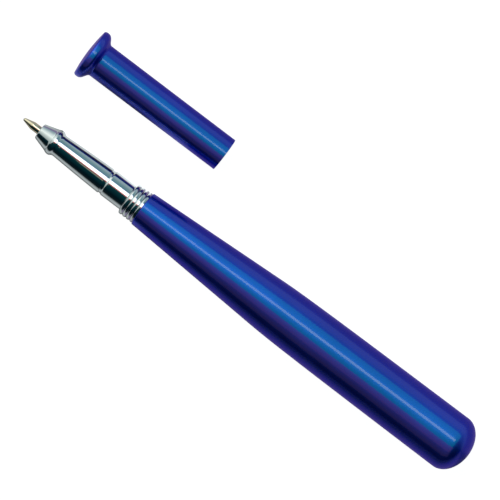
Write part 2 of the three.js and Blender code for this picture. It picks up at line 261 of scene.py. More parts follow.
# Softboxes along the pen: name, the pieces that it lights, its middle along X, the angles off the vertical
# that it fills, in degrees towards the cap, its length, its radiance and its colour. The bright metal gets
# more light than the blue, as a photographer would shade it.
SOFTBOX_DISTANCE = 0.7
SOFTBOXES = [
    ("key_for_metal", "bright", 0.436, (2, 26), 1.53, 3.0, (1.0, 1.0, 1.0)),
    ("lavender_edge_on_metal", "bright", 0.436, (26, 31), 1.53, 0.9, (0.62, 0.68, 1.0)),
    ("key_for_blue", "blue", 0.0, (-14, 48), 1.2, 1.6, (0.0, 1.0, 0.27)),
    ("fill_for_blue", "blue", 0.0, (-38, -14), 1.2, 0.8, (1.0, 0.38, 0.40)),
    ("low_fill_for_blue", "blue", 0.0, (-64, -38), 1.2, 0.3, (1.0, 0.5, 0.4)),
    ("side_fill_for_blue", "blue", 0.0, (58, 88), 1.2, 0.16, (1.0, 0.85, 0.30)),
    ("line_on_blue", "blue", -0.1, (10, 19), 0.9, 10.0, (0.34, 0.34, 0.12)),
    ("warm_edge_on_metal", "bright", 0.11, (-6, 2), 0.875, 1.0, (1.0, 0.22, 0.17)),
    ("olive_edge_on_metal", "bright", -0.166, (-17, -11), 0.060, 0.45, (1.0, 0.8, 0.5)),
]

# The card on the floor between the section and the cap
CARD_LENGTH = 0.029
CARD_WIDTH = 0.013
CARD_RADIANCE = 0.72
CARD_MIDDLE = (-0.0515, -0.0035, 0.0004)

# What surrounds the pen, by the angle off the vertical round its length, in degrees towards the cap
STUDIO_ROUND_THE_PEN = [
    (-180, (0.30, 0.34, 0.35)),
    (-95, (0.010, 0.016, 0.020)),
    (-60, (0.001, 0.010, 0.016)),
    (-30, (0.003, 0.035, 0.045)),
    (-12, (0.006, 0.055, 0.065)),
    (-2, (0.02, 0.10, 0.12)),
    (24, (0.12, 0.16, 0.22)),
    (42, (0.20, 0.38, 0.44)),
    (58, (0.30, 0.46, 0.50)),
    (70, (0.46, 0.58, 0.64)),
    (90, (0.50, 0.58, 0.64)),
    (180, (0.30, 0.34, 0.35)),
]

# The pale wall past the tip, by how far a direction leans towards the cap. How far a direction points past
# the tip says how much of the wall is seen there, and on the dark side the wall starts further round.
TIP_WALL = [
    (-0.50, (0.30, 0.34, 0.33)),
    (-0.20, (0.44, 0.48, 0.46)),
    (0.05, (0.64, 0.68, 0.64)),
    (0.30, (0.98, 1.00, 0.94)),
    (0.60, (0.70, 0.76, 0.74)),
    (0.80, (0.38, 0.46, 0.47)),
    (0.90, (0.20, 0.27, 0.34)),
]
TIP_WALL_GLOW = 1.6
TIP_WALL_FROM = 0.22
TIP_WALL_FULL = 0.30
TIP_WALL_SLANT = 0.85


# Middle lines of the pen and of the cap

def entry(entries, name):
    return next(item for item in entries if item["name"] == name)


def placed_along(start, along):
    """The matrix that takes the X axis to a middle line, with Y kept level."""
    level = Vector((0, 1, 0))
    matrix = Matrix((along, level, along.cross(level))).transposed().to_4x4()
    matrix.translation = start
    return matrix


def pen_line():
    turn = entry(frame["joints"], "section_turn")
    along = -Vector(turn["axis"]).normalized()
    return placed_along(Vector(turn["pos_m"]) - along * SLEEVE_REAR * MM, along)


def cap_line():
    mouth = entry(frame["record"]["mounts"], "cap_mouth")
    along = Vector(mouth["axis"]).normalized()
    low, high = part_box("cap_shell")
    middle = Vector((mouth["pos_m"][0], (low.y + high.y) / 2, mouth["pos_m"][2]))
    return placed_along(middle - along * CAP_LENGTH * MM, along)


PEN = pen_line()
CAP = cap_line()


# Outlines

def curve(*controls, steps=CURVE_STEPS):
    """Points of the Bezier curve with these control points."""
    points = []
    for step in range(steps + 1):
        level = [Vector(control) for control in controls]
        while len(level) > 1:
            level = [a.lerp(b, step / steps) for a, b in zip(level, level[1:])]
        points.append(tuple(level[0]))
    return points


def eased(before, corner, after, steps=EDGE_STEPS):
    """Points of the small rounding that takes the place of a corner."""
    return curve(before, corner, after, steps=steps)


def ellipse(middle, reach, rise, start, end, steps=CURVE_STEPS):
    """Points of an ellipse round (station, radius), from one angle to another, in degrees."""
    points = []
    for step in range(steps + 1):
        angle = math.radians(start + (end - start) * step / steps)
        points.append((middle[0] + reach * math.cos(angle), middle[1] + rise * math.sin(angle)))
    return points


def rounded(corners, edge):
    """A closed outline with each of its corners rounded by the same small edge."""
    points = []
    for index, corner in enumerate(corners):
        here = Vector(corner)
        before = Vector(corners[index - 1]) - here
        after = Vector(corners[(index + 1) % len(corners)]) - here
        reach = min(edge, before.length / 2, after.length / 2)
        points += eased(here + before.normalized() * reach, here, here + after.normalized() * reach)
    return points


# Modelling

def drawn(outline):
    """Draws an outline in the plane of the middle line, by extruding one vertex from point to point."""
    points = [Vector((station, 0, radius)) * MM for station, radius in outline]
    bpy.ops.object.select_all(action="DESELECT")
    bpy.ops.mesh.primitive_plane_add(size=MM, location=points[0])
    bpy.ops.object.mode_set(mode="EDIT")
    bpy.context.tool_settings.mesh_select_mode = (True, False, False)
    bpy.ops.mesh.select_all(action="SELECT")
    bpy.ops.mesh.merge(type="CENTER")
    for here, there in zip(points, points[1:]):
        if (there - here).length > MERGE:
            bpy.ops.mesh.extrude_region_move(TRANSFORM_OT_translate={"value": there - here})
    bpy.ops.object.mode_set(mode="OBJECT")
    bpy.ops.object.transform_apply(location=True, rotation=True, scale=True)
    return bpy.context.object


def finished(piece, name, line):
    """Points the faces outwards, smooths the round ones and puts the piece on its middle line."""
    bpy.ops.object.mode_set(mode="EDIT")
    bpy.ops.mesh.select_all(action="SELECT")
    bpy.ops.mesh.remove_doubles(threshold=MERGE)
    bpy.ops.mesh.normals_make_consistent(inside=False)
    bpy.ops.object.mode_set(mode="OBJECT")
    bpy.ops.object.shade_smooth_by_angle(angle=SMOOTH_LIMIT)
    piece.matrix_world = line
    bpy.ops.object.transform_apply(location=True, rotation=True, scale=True)
    piece.name = name
    piece.data.name = name
    return piece


def turned(name, line, outline, sides=CASING_SIDES):
    """Spins an outline round its middle line. It closes on itself, or starts and ends on the line."""
    on_line = outline[0][1] == 0 and outline[-1][1] == 0
    piece = drawn(outline if on_line else outline + outline[:1])
    bpy.ops.object.mode_set(mode="EDIT")
    bpy.ops.mesh.select_all(action="SELECT")
    bpy.ops.mesh.spin(steps=sides, angle=math.tau, use_auto_merge=True, center=(0, 0, 0), axis=(1, 0, 0))
    bpy.ops.object.mode_set(mode="OBJECT")
    return finished(piece, name, line)


def coiled(name, line, section, pitch, turns, steps):
    """Winds a closed section round the middle line as a screw, and closes its two ends."""
    piece = drawn(section + section[:1])
    bpy.ops.object.mode_set(mode="EDIT")
    bpy.ops.mesh.select_all(action="SELECT")
    bpy.ops.mesh.remove_doubles(threshold=MERGE)
    bpy.ops.object.mode_set(mode="OBJECT")
    screw = piece.modifiers.new("winding", "SCREW")
    screw.axis = "X"
    screw.angle = math.tau
    screw.screw_offset = pitch * MM
    screw.iterations = turns
    screw.steps = steps
    screw.render_steps = steps
    bpy.ops.object.modifier_apply(modifier=screw.name)
    bpy.ops.object.mode_set(mode="EDIT")
    bpy.ops.mesh.select_all(action="DESELECT")
    bpy.ops.mesh.select_non_manifold()
    bpy.ops.mesh.fill()
    bpy.ops.object.mode_set(mode="OBJECT")
    return finished(piece, name, line)


# Outlines of the turned pieces, and sections of the wound ones

def writing_ball():
    return ellipse((BALL_RADIUS, 0), BALL_RADIUS, BALL_RADIUS, 180, 0)


def point_outline():
    """The socket's thin lip is rolled over the ball. A tail with the ink channel is pressed into the tube."""
    socket = BALL_RADIUS + SOCKET_GAP
    lip_station = BALL_PROUD - BALL_RADIUS
    lip_radius = math.sqrt(socket ** 2 - lip_station ** 2)
    lip_angle = math.degrees(math.atan2(lip_radius, lip_station))
    lip_end = 0.12
    lip_end_rise = 0.03
    channel_angle = math.degrees(math.asin(INK_CHANNEL_RADIUS / socket))
    blend, blend_drop = CONE_BLEND
    shank_rear = TUBE_FRONT - SEAT_GAP
    tail_rear = shank_rear + TAIL_LENGTH
    tail_radius = TUBE_BORE - SEAT_GAP
    edge = 0.06
    return (
        ellipse((BALL_RADIUS, 0), socket, socket, channel_angle, lip_angle)
        + eased((BALL_PROUD, lip_radius), (BALL_PROUD, lip_radius + SOCKET_LIP),
                (BALL_PROUD + lip_end, lip_radius + SOCKET_LIP + lip_end_rise))
        + eased((CONE_REAR - blend, SHANK_RADIUS - blend_drop), (CONE_REAR, SHANK_RADIUS),
                (CONE_REAR + blend, SHANK_RADIUS))
        + eased((shank_rear - edge, SHANK_RADIUS), (shank_rear, SHANK_RADIUS),
                (shank_rear, SHANK_RADIUS - edge))
        + [(shank_rear, tail_radius), (tail_rear - edge, tail_radius), (tail_rear, tail_radius - edge),
           (tail_rear, INK_CHANNEL_RADIUS)]
    )


def nose_outline():
    """A straight flank that flares out just before the bead. The ink tube stops on the step inside."""
    flank_front = NOSE_FRONT + NOSE_FACE_EDGE
    flank_radius = NOSE_FACE_RADIUS + BROKEN_EDGE
    flare = NOSE_REAR - NOSE_FLARE[0]
    flare_radius = NOSE_REAR_RADIUS - NOSE_FLARE[1]
    bend = (NOSE_REAR - NOSE_FLARE_BEND[0], NOSE_REAR_RADIUS - NOSE_FLARE_BEND[1])
    middle = ((flank_front + flare) / 2, (flank_radius + flare_radius) / 2)
    crisp_edge = 0.02
    step = NOSE_FRONT + NOSE_STEP_DEPTH
    rear = NOSE_REAR + NOSE_SPIGOT_LENGTH
    return (
        eased((NOSE_FRONT + BROKEN_EDGE, NOSE_HOLE_RADIUS), (NOSE_FRONT, NOSE_HOLE_RADIUS),
              (NOSE_FRONT, NOSE_HOLE_RADIUS + BROKEN_EDGE))
        + eased((NOSE_FRONT, NOSE_FACE_RADIUS - NOSE_FACE_EDGE), (NOSE_FRONT, NOSE_FACE_RADIUS),
                (flank_front, flank_radius), steps=2 * EDGE_STEPS)
        + curve((flank_front, flank_radius), middle, (flare, flare_radius))
        + eased((flare, flare_radius), bend, (NOSE_REAR - crisp_edge, NOSE_REAR_RADIUS), steps=2 * EDGE_STEPS)
        + [(NOSE_REAR, NOSE_REAR_RADIUS - crisp_edge), (NOSE_REAR, NOSE_SPIGOT_RADIUS),
           (rear, NOSE_SPIGOT_RADIUS), (rear, SECTION_BORE), (step, SECTION_BORE), (step, NOSE_HOLE_RADIUS)]
    )


def grip_outline():
    """A round bead, a waist behind it and a slightly swollen taper up to the snap groove."""
    socket = NOSE_SPIGOT_RADIUS + SEAT_GAP
    socket_rear = NOSE_REAR + NOSE_SPIGOT_LENGTH + END_GAP
    rear_socket = SLEEVE_SPIGOT_RADIUS + SEAT_GAP
    rear_socket_front = GRIP_REAR - SLEEVE_SPIGOT_LENGTH - END_GAP
    reach = (WAIST - BEAD_CREST) / 2
    swell = ((WAIST + GRIP_REAR) / 2, (WAIST_RADIUS + GRIP_REAR_RADIUS) / 2 + GRIP_SWELL)
    edge = 0.08
    return (
        [(GRIP_FRONT, socket)]
        + curve((GRIP_FRONT, BEAD_RADIUS - BEAD_FRONT_DROP), ((GRIP_FRONT + BEAD_CREST) / 2, BEAD_RADIUS),
                (BEAD_CREST, BEAD_RADIUS), steps=CURVE_STEPS // 2)
        + curve((BEAD_CREST, BEAD_RADIUS), (BEAD_CREST + reach, BEAD_RADIUS), (WAIST - reach, WAIST_RADIUS),
                (WAIST, WAIST_RADIUS))
        + curve((WAIST, WAIST_RADIUS), swell, (GRIP_REAR - edge, GRIP_REAR_RADIUS))
        + eased((GRIP_REAR - edge, GRIP_REAR_RADIUS), (GRIP_REAR, GRIP_REAR_RADIUS),
                (GRIP_REAR, GRIP_REAR_RADIUS - edge))
        + [(GRIP_REAR, rear_socket), (rear_socket_front, rear_socket), (rear_socket_front, SECTION_BORE),
           (socket_rear, SECTION_BORE), (socket_rear, socket)]
    )


def sleeve_outline():
    """Spigot, snap groove, polished length, the collar's seat and the tenon that carries the thread."""
    front = GRIP_REAR - SLEEVE_SPIGOT_LENGTH
    edge = 0.08
    groove_ramp = 0.4
    lead = 0.35
    return (
        [(front, SECTION_BORE), (front, SLEEVE_SPIGOT_RADIUS), (GROOVE_FRONT, SLEEVE_SPIGOT_RADIUS),
         (GROOVE_FRONT, GROOVE_RADIUS)]
        + curve((GROOVE_REAR - groove_ramp, GROOVE_RADIUS), (GROOVE_REAR, GROOVE_RADIUS),
                (GROOVE_REAR - edge, SLEEVE_RADIUS), (GROOVE_REAR + groove_ramp, SLEEVE_RADIUS))
        + eased((SLEEVE_REAR - edge, SLEEVE_RADIUS), (SLEEVE_REAR, SLEEVE_RADIUS),
                (SLEEVE_REAR, SLEEVE_RADIUS - edge))
        + [(SLEEVE_REAR, COLLAR_SEAT_RADIUS), (TENON_FRONT, COLLAR_SEAT_RADIUS), (TENON_FRONT, THREAD_ROOT),
           (TENON_REAR - lead, THREAD_ROOT), (TENON_REAR, THREAD_ROOT - lead), (TENON_REAR, SECTION_BORE)]
    )


def collar_outline():
    """Round rings side by side with a sharp valley between each two."""
    bore = COLLAR_SEAT_RADIUS + SEAT_GAP
    half = RING_PITCH / 2
    edge = 0.05
    points = [(COLLAR_FRONT, bore)]
    points += eased((COLLAR_FRONT, COLLAR_FACE_RADIUS - BROKEN_EDGE), (COLLAR_FRONT, COLLAR_FACE_RADIUS),
                    (COLLAR_FRONT + edge, COLLAR_FACE_RADIUS + BROKEN_EDGE))
    for ring in range(RING_COUNT):
        crest = RING_FIRST + ring * RING_PITCH
        last = ring == RING_COUNT - 1
        end = math.degrees(math.acos((COLLAR_REAR - crest) / half)) if last else 0
        points += ellipse((crest, RING_VALLEY_RADIUS), half, RING_HEIGHT, 180, end, steps=RING_STEPS)
    return points + [(COLLAR_REAR, bore)]


def barrel_outline():
    """A straight taper from the mouth, a shoulder, the long body and the dome, with one wall all through."""
    slope = (TAPER_REAR_RADIUS - MOUTH_RADIUS) / (TAPER_REAR - BARREL_FRONT)
    step_radius = MOUTH_RADIUS + slope * (MOUTH_BORE_REAR - BARREL_FRONT) - BARREL_WALL
    edge = 0.3

    def long_body(wall):
        return curve(
            (TAPER_REAR, TAPER_REAR_RADIUS - wall),
            (TAPER_REAR + SHOULDER_REACH, TAPER_REAR_RADIUS + SHOULDER_REACH * slope - wall),
            (BODY_REAR - BODY_REACH, BODY_RADIUS - BODY_REACH * BODY_SLOPE - wall),
            (BODY_REAR, BODY_RADIUS - wall),
            steps=2 * CURVE_STEPS,
        )

    return (
        eased((BARREL_FRONT + BROKEN_EDGE, MOUTH_BORE), (BARREL_FRONT, MOUTH_BORE),
              (BARREL_FRONT, MOUTH_BORE + BROKEN_EDGE))
        + eased((BARREL_FRONT, MOUTH_RADIUS - edge), (BARREL_FRONT, MOUTH_RADIUS),
                (BARREL_FRONT + edge, MOUTH_RADIUS), steps=2 * EDGE_STEPS)
        + curve((BARREL_FRONT + edge, MOUTH_RADIUS), (TAPER_REAR, TAPER_REAR_RADIUS))
        + long_body(0)
        + ellipse((BODY_REAR, 0), DOME_LENGTH, BODY_RADIUS, 90, 0)
        + ellipse((BODY_REAR, 0), DOME_LENGTH - BARREL_WALL, BODY_RADIUS - BARREL_WALL, 0, 90)
        + long_body(BARREL_WALL)[::-1]
        + [(MOUTH_BORE_REAR + step_radius - MOUTH_BORE, step_radius), (MOUTH_BORE_REAR, MOUTH_BORE)]
    )


def insert_outline():
    """The threaded socket for the tenon, and behind it the closed guide of the ink tube and the spring."""
    lead = 0.2
    end_edge = 0.3
    return [
        (GUIDE_INNER_REAR, 0), (GUIDE_INNER_REAR, GUIDE_BORE), (THREAD_BORE_REAR, GUIDE_BORE),
        (THREAD_BORE_REAR, THREAD_BORE), (INSERT_FRONT + lead, THREAD_BORE),
        (INSERT_FRONT, THREAD_BORE + lead), (INSERT_FRONT, INSERT_RADIUS - BROKEN_EDGE),
        (INSERT_FRONT + BROKEN_EDGE, INSERT_RADIUS), (INSERT_REAR, INSERT_RADIUS),
        (INSERT_REAR, GUIDE_RADIUS), (GUIDE_REAR - end_edge, GUIDE_RADIUS),
        (GUIDE_REAR, GUIDE_RADIUS - end_edge), (GUIDE_REAR, 0),
    ]


def cap_outline():
    """A slightly domed end face, the flared knob and the straight shaft with its deep bore."""
    rim_foot = KNOB_RADIUS - KNOB_RIM_ROUND
    edge = 0.12
    return (
        curve((0, 0), (0, rim_foot / 2), (KNOB_FACE_RISE, rim_foot))
        + eased((KNOB_FACE_RISE, rim_foot), (KNOB_FACE_RISE + KNOB_RIM_ROUND / 4, KNOB_RADIUS),
                (KNOB_RIM, KNOB_RADIUS), steps=3 * EDGE_STEPS)
        + curve((KNOB_RIM, KNOB_RADIUS), (KNOB_FLANK, KNOB_RADIUS), (KNOB_FLANK, CAP_FOOT_RADIUS),
                (KNOB_FOOT, CAP_FOOT_RADIUS))
        + curve((KNOB_FOOT, CAP_FOOT_RADIUS), (CAP_LENGTH - edge, CAP_RADIUS))
        + eased((CAP_LENGTH - edge, CAP_RADIUS), (CAP_LENGTH, CAP_RADIUS), (CAP_LENGTH, CAP_RADIUS - edge))
        + [(CAP_LENGTH, CAP_BORE), (CAP_BORE_FRONT, CAP_BORE), (CAP_BORE_FRONT, 0)]
    )


def liner_outline():
    """Inside its mouth the liner has the ridge that snaps into the sleeve's groove."""
    edge = 0.12
    return (
        [(LINER_FRONT, LINER_RADIUS)]
        + eased((LINER_REAR - edge, LINER_RADIUS), (LINER_REAR, LINER_RADIUS),
                (LINER_REAR, LINER_RADIUS - edge))
        + [(LINER_REAR, LINER_BORE + edge), (LINER_REAR - edge, LINER_BORE)]
        + ellipse((RIDGE_MIDDLE, LINER_BORE), RIDGE_HALF, -RIDGE_HEIGHT, 0, 180, steps=RIDGE_STEPS)
        + [(LINER_FRONT, LINER_BORE)]
    )


def tube_outline():
    edge = 0.08
    return rounded([(TUBE_FRONT, TUBE_BORE), (TUBE_FRONT, TUBE_RADIUS), (TUBE_REAR, TUBE_RADIUS),
                    (TUBE_REAR, TUBE_BORE)], edge)


def ink_outline():
    """The ink's rear end is a hollow meniscus."""
    front = TUBE_FRONT + TAIL_LENGTH + END_GAP
    rear = front + INK_LENGTH
    radius = TUBE_BORE - SEAT_GAP
    bottom = rear - MENISCUS_DEPTH
    flat_share = 0.7
    return [(front, 0), (front, radius)] + curve((rear, radius), (bottom, radius * flat_share), (bottom, 0))


def thread_section():
    """One ridge of the tenon's thread, sunk a little into the tenon."""
    start = TENON_FRONT + THREAD_START
    root = THREAD_ROOT - THREAD_SUNK
    crest_front, crest_rear, foot = 0.27, 0.37, 0.64
    return [(start, root), (start + crest_front, THREAD_CREST), (start + crest_rear, THREAD_CREST),
            (start + foot, root)]


def wire_section():
    return ellipse((SPRING_FRONT, SPRING_RADIUS), WIRE_RADIUS, WIRE_RADIUS, 0, 360 - 360 / WIRE_SIDES,
                   steps=WIRE_SIDES - 1)


# Node trees

class Tree:
    """A node tree that is being built."""

    def __init__(self, tree):
        self.tree = tree

    def add(self, kind, settings=None, **inputs):
        """Adds a node. An input's name has _ for each space. Its value is a number or another's output."""
        node = self.tree.nodes.new(kind)
        for name, value in (settings or {}).items():
            setattr(node, name, value)
        for name, value in inputs.items():
            self.put(node.inputs[name.replace("_", " ")], value)
        return node

    def put(self, socket, value):
        if isinstance(value, bpy.types.NodeSocket):
            self.tree.links.new(value, socket)
        else:
            socket.default_value = value

    def math(self, operation, first, second=0.0):
        node = self.tree.nodes.new("ShaderNodeMath")
        node.operation = operation
        self.put(node.inputs[0], first)
        self.put(node.inputs[1], second)
        return node.outputs[0]

    def between(self, value, low, high, to_low=0.0, to_high=1.0):
        """Maps a value from one range to another and holds it there."""
        node = self.add("ShaderNodeMapRange", {"clamp": True}, Value=value, From_Min=low, From_Max=high,
                        To_Min=to_low, To_Max=to_high)
        return node.outputs[0]

    def noise(self, vector, scale, detail=2.0, roughness=0.5):
        node = self.add("ShaderNodeTexNoise", Vector=vector, Scale=scale, Detail=detail, Roughness=roughness)
        return node.outputs["Fac"]

    def scaled(self, vector, scale):
        node = self.tree.nodes.new("ShaderNodeVectorMath")
        node.operation = "MULTIPLY"
        self.put(node.inputs[0], vector)
        self.put(node.inputs[1], scale)
        return node.outputs[0]

    def ramp(self, share, stops):
        """A colour that goes from stop to stop, each a share with its colour."""
        node = self.add("ShaderNodeValToRGB", Fac=share)
        elements = node.color_ramp.elements
        elements[0].position = stops[0][0]
        elements[-1].position = stops[-1][0]
        for position, _ in stops[1:-1]:
            elements.new(position)
        for element, (_, colour) in zip(elements, stops):
            element.color = (*colour, 1)
        return node.outputs["Color"]

    def mixed(self, share, first, second):
        """Mixes two colours. The node has other sockets of the same names, so these go by number."""
        node = self.tree.nodes.new("ShaderNodeMix")
        node.data_type = "RGBA"
        self.put(node.inputs[0], share)
        self.put(node.inputs[6], first)
        self.put(node.inputs[7], second)
        return node.outputs[2]


def group(name, build):
    """Makes a node group that turns a place and a scale into a mask."""
    made = bpy.data.node_groups.new(name, "ShaderNodeTree")
    made.interface.new_socket("Place", in_out="INPUT", socket_type="NodeSocketVector")
    made.interface.new_socket("Scale", in_out="INPUT", socket_type="NodeSocketFloat")
    made.interface.new_socket("Mask", in_out="OUTPUT", socket_type="NodeSocketFloat")
    tree = Tree(made)
    source = made.nodes.new("NodeGroupInput")
    result = made.nodes.new("NodeGroupOutput")
    tree.put(result.inputs["Mask"], build(tree, source.outputs))
    return made


def turning_marks(tree, given):
    """Fine rings round the piece, as a lathe or a polishing wheel leaves them."""
    drawn_round = (1.0, 0.03, 0.03)
    return tree.noise(tree.scaled(given["Place"], drawn_round), given["Scale"], detail=3.0, roughness=0.65)


def hairlines(tree, given):
    """Short thin scratches in two directions, where a wider noise allows them."""
    place = given["Place"]
    turned_place = tree.add("ShaderNodeMapping", Vector=place, Rotation=(0.4, 0.3, 0.9)).outputs[0]
    lines = []
    for where, drawn_along in ((place, (0.06, 1.0, 1.0)), (turned_place, (0.08, 1.0, 1.0))):
        noise = tree.noise(tree.scaled(where, drawn_along), given["Scale"], detail=1.0)
        off_middle = tree.math("ABSOLUTE", tree.math("SUBTRACT", noise, 0.5))
        lines.append(tree.between(off_middle, low=0.0, high=0.006, to_low=1.0, to_high=0.0))
    wider = tree.noise(place, tree.math("MULTIPLY", given["Scale"], 0.12))
    patches = tree.between(wider, low=0.55, high=0.7)
    return tree.math("MULTIPLY", tree.math("MAXIMUM", *lines), patches)


def handling(tree, given):
    """Soft patches where fingers have touched the surface."""
    return tree.between(tree.noise(given["Place"], given["Scale"], detail=3.0), low=0.42, high=0.68)


def worn_edges(tree, given):
    """Outer edges that rubbing has worn, unevenly."""
    edges = tree.between(tree.add("ShaderNodeNewGeometry").outputs["Pointiness"], low=0.52, high=0.62)
    patches = tree.between(tree.noise(given["Place"], given["Scale"], detail=3.0), low=0.45, high=0.62)
    return tree.math("MULTIPLY", edges, patches)


TURNING = group("turning_marks", turning_marks)
HAIRLINES = group("hairline_scratches", hairlines)
HANDLING = group("handling_marks", handling)
WORN = group("worn_edges", worn_edges)


class Finish(Tree):
    """A material that is being built, with its pattern laid along a middle line."""

    def __init__(self, name, line=None):
        self.material = bpy.data.materials.new(name)
        self.material.use_nodes = True
        super().__init__(self.material.node_tree)
        self.shader = self.tree.nodes["Principled BSDF"]
        place = self.add("ShaderNodeTexCoord").outputs["Object"]
        if line is not None:
            back = line.inverted()
            place = self.add("ShaderNodeMapping", Vector=place, Rotation=back.to_euler(),
                             Location=back.translation).outputs[0]
        self.place = place

    def effect(self, made, scale):
        return self.add("ShaderNodeGroup", {"node_tree": made}, Place=self.place, Scale=scale).outputs["Mask"]

    def set(self, **values):
        for name, value in values.items():
            self.put(self.shader.inputs[name.replace("_", " ")], value)

    def rougher(self, roughness, *layers):
        """Raises a roughness by layers, each a mask with the most that it adds."""
        for mask, most in layers:
            roughness = self.math("ADD", roughness, self.math("MULTIPLY", mask, most))
        return roughness

    def bumps(self, *layers):
        """Stacks bump layers, each a height with its depth in millimetres."""
        normal = None
        for height, depth in layers:
            bump = self.add("ShaderNodeBump", Strength=1.0, Distance=depth * MM, Height=height)
            if normal is not None:
                self.put(bump.inputs["Normal"], normal)
            normal = bump.outputs[0]
        self.set(Normal=normal)


def anodised_blue(name, line):
    """Blue metal under a clear coat, which is a little uneven."""
    finish = Finish(name, line)
    tone = finish.between(finish.noise(finish.place, scale=60), low=0.3, high=0.7)
    worn = finish.effect(WORN, scale=900)
    scratches = finish.effect(HAIRLINES, scale=1500)
    touched = finish.effect(HANDLING, scale=120)
    lines = finish.effect(TURNING, scale=9000)
    blue = finish.mixed(tone, *BLUE_TONES)
    finish.set(
        Base_Color=finish.mixed(finish.math("MULTIPLY", worn, 0.5), blue, BLUE_WORN),
        Metallic=1.0,
        Roughness=finish.rougher(BLUE_ROUGHNESS, (touched, 0.03), (scratches, 0.05)),
        Specular_Tint=BLUE_EDGE_ON,
        Coat_Weight=0.7,
        Coat_Roughness=0.1,
        Coat_IOR=1.5,
    )
    along = finish.add("ShaderNodeSeparateXYZ", Vector=finish.place).outputs["X"]
    share = finish.between(along, *UNEVEN_GROWS, to_low=UNEVEN_LEAST)
    uneven = finish.math("MULTIPLY", finish.noise(finish.place, scale=1300, detail=1.5), share)
    finish.bumps((uneven, UNEVEN_DEPTH), (lines, 0.0008))
    return finish.material


def chrome_plate(name, line):
    finish = Finish(name, line)
    touched = finish.effect(HANDLING, scale=260)
    scratches = finish.effect(HAIRLINES, scale=2600)
    lines = finish.effect(TURNING, scale=16000)
    finish.set(
        Base_Color=finish.mixed(touched, *CHROME_TONES),
        Metallic=1.0,
        Roughness=finish.rougher(CHROME_ROUGHNESS, (scratches, 0.12), (touched, 0.035)),
    )
    finish.bumps((lines, 0.0003))
    return finish.material


def bare_metal(name, line, colour, tarnish, roughness):
    """Turned metal without a coat, a little tarnished in patches."""
    finish = Finish(name, line)
    patches = finish.effect(HANDLING, scale=700)
    lines = finish.effect(TURNING, scale=14000)
    finish.set(
        Base_Color=finish.mixed(finish.math("MULTIPLY", patches, 0.6), colour, tarnish),
        Metallic=1.0,
        Roughness=finish.rougher(roughness, (patches, 0.08)),
    )
    finish.bumps((lines, 0.0003))
    return finish.material


def moulded_plastic(name, line, colour, second, roughness, clear=0.0):
    """Moulded plastic with flow marks and a fine grain."""
    finish = Finish(name, line)
    flow = finish.effect(HANDLING, scale=300)
    grain = finish.noise(finish.place, scale=5000)
    finish.set(
        Base_Color=finish.mixed(flow, colour, second),
        Roughness=finish.rougher(roughness, (flow, 0.06)),
        Transmission_Weight=clear,
        IOR=1.49,
    )
    finish.bumps((grain, 0.002))
    return finish.material


def writing_ink(name):
    finish = Finish(name)
    drift = finish.noise(finish.place, scale=200, detail=3.0)
    finish.set(
        Base_Color=finish.mixed(drift, *INK_TONES),
        Roughness=finish.between(drift, 0.3, 0.7, *INK_ROUGHNESS),
        Coat_Weight=0.5,
    )
    return finish.material


# Studio: floor, soft light and camera

def pale_floor():
    """White paper for the camera. For reflections it glows with painted light, dimmer towards the dark side
    as painted shade, with painted shadow below the pen and between the section and the cap, and with painted
    shade and a painted violet tint beside the blue pieces."""
    bpy.ops.object.select_all(action="DESELECT")
    bpy.ops.mesh.primitive_plane_add(size=FLOOR_SIZE, location=(0, 0, 0))
    floor = bpy.context.object
    floor.name = "studio_floor"
    material = bpy.data.materials.new("pale_paper")
    material.use_nodes = True
    tree = Tree(material.node_tree)
    place = tree.add("ShaderNodeTexCoord").outputs["Object"]
    split = tree.add("ShaderNodeSeparateXYZ", Vector=place)
    x = split.outputs["X"]
    y = split.outputs["Y"]

    def strip(value, start, end):
        return tree.math("MULTIPLY", tree.between(value, *start), tree.between(value, *end, 1.0, 0.0))

    def dimmed(glow, mask, least):
        return tree.math("MULTIPLY", glow, tree.between(mask, 0.0, 1.0, 1.0, least))

    # Painted shadow by the section and below the pen, painted shade towards the dark side and by the blue
    # pieces
    shadow_by_section = tree.math("MULTIPLY", strip(x, *SHADOW_BY_SECTION_X), strip(y, *SHADOW_BY_SECTION_Y))
    shade_and_tint_by_blue = tree.math("MAXIMUM", tree.between(x, *SHADE_AND_TINT_STARTS_X), tree.between(y, *SHADE_AND_TINT_STARTS_Y))
    glow = tree.between(y, *GLOW_GROWS_Y, FLOOR_GLOW_FAR, FLOOR_GLOW)
    glow = dimmed(glow, shadow_by_section, SHADOW_GLOW_BY_SECTION)
    glow = dimmed(glow, strip(y, *SHADOW_BELOW_PEN_Y), SHADOW_GLOW_BELOW_PEN)
    glow = dimmed(glow, shade_and_tint_by_blue, SHADE_GLOW_BY_BLUE)
    seen = tree.add("ShaderNodeLightPath").outputs["Is Camera Ray"]
    # Painted violet tint of the reflected glow beside the blue pieces
    tint = tree.mixed(shade_and_tint_by_blue, WHITE, PAINTED_TINT_BY_BLUE)
    shader = tree.tree.nodes["Principled BSDF"]
    tree.put(shader.inputs["Base Color"], tree.mixed(tree.noise(place, scale=300, detail=3.0), *PAPER_TONES))
    tree.put(shader.inputs["Roughness"], PAPER_ROUGHNESS)
    tree.put(shader.inputs["Specular IOR Level"], 0.0)
    tree.put(shader.inputs["Emission Color"], tree.mixed(seen, tint, WHITE))
    tree.put(shader.inputs["Emission Strength"], tree.between(seen, 0.0, 1.0, glow, FLOOR_GLOW_SEEN))
    floor.data.materials.append(material)


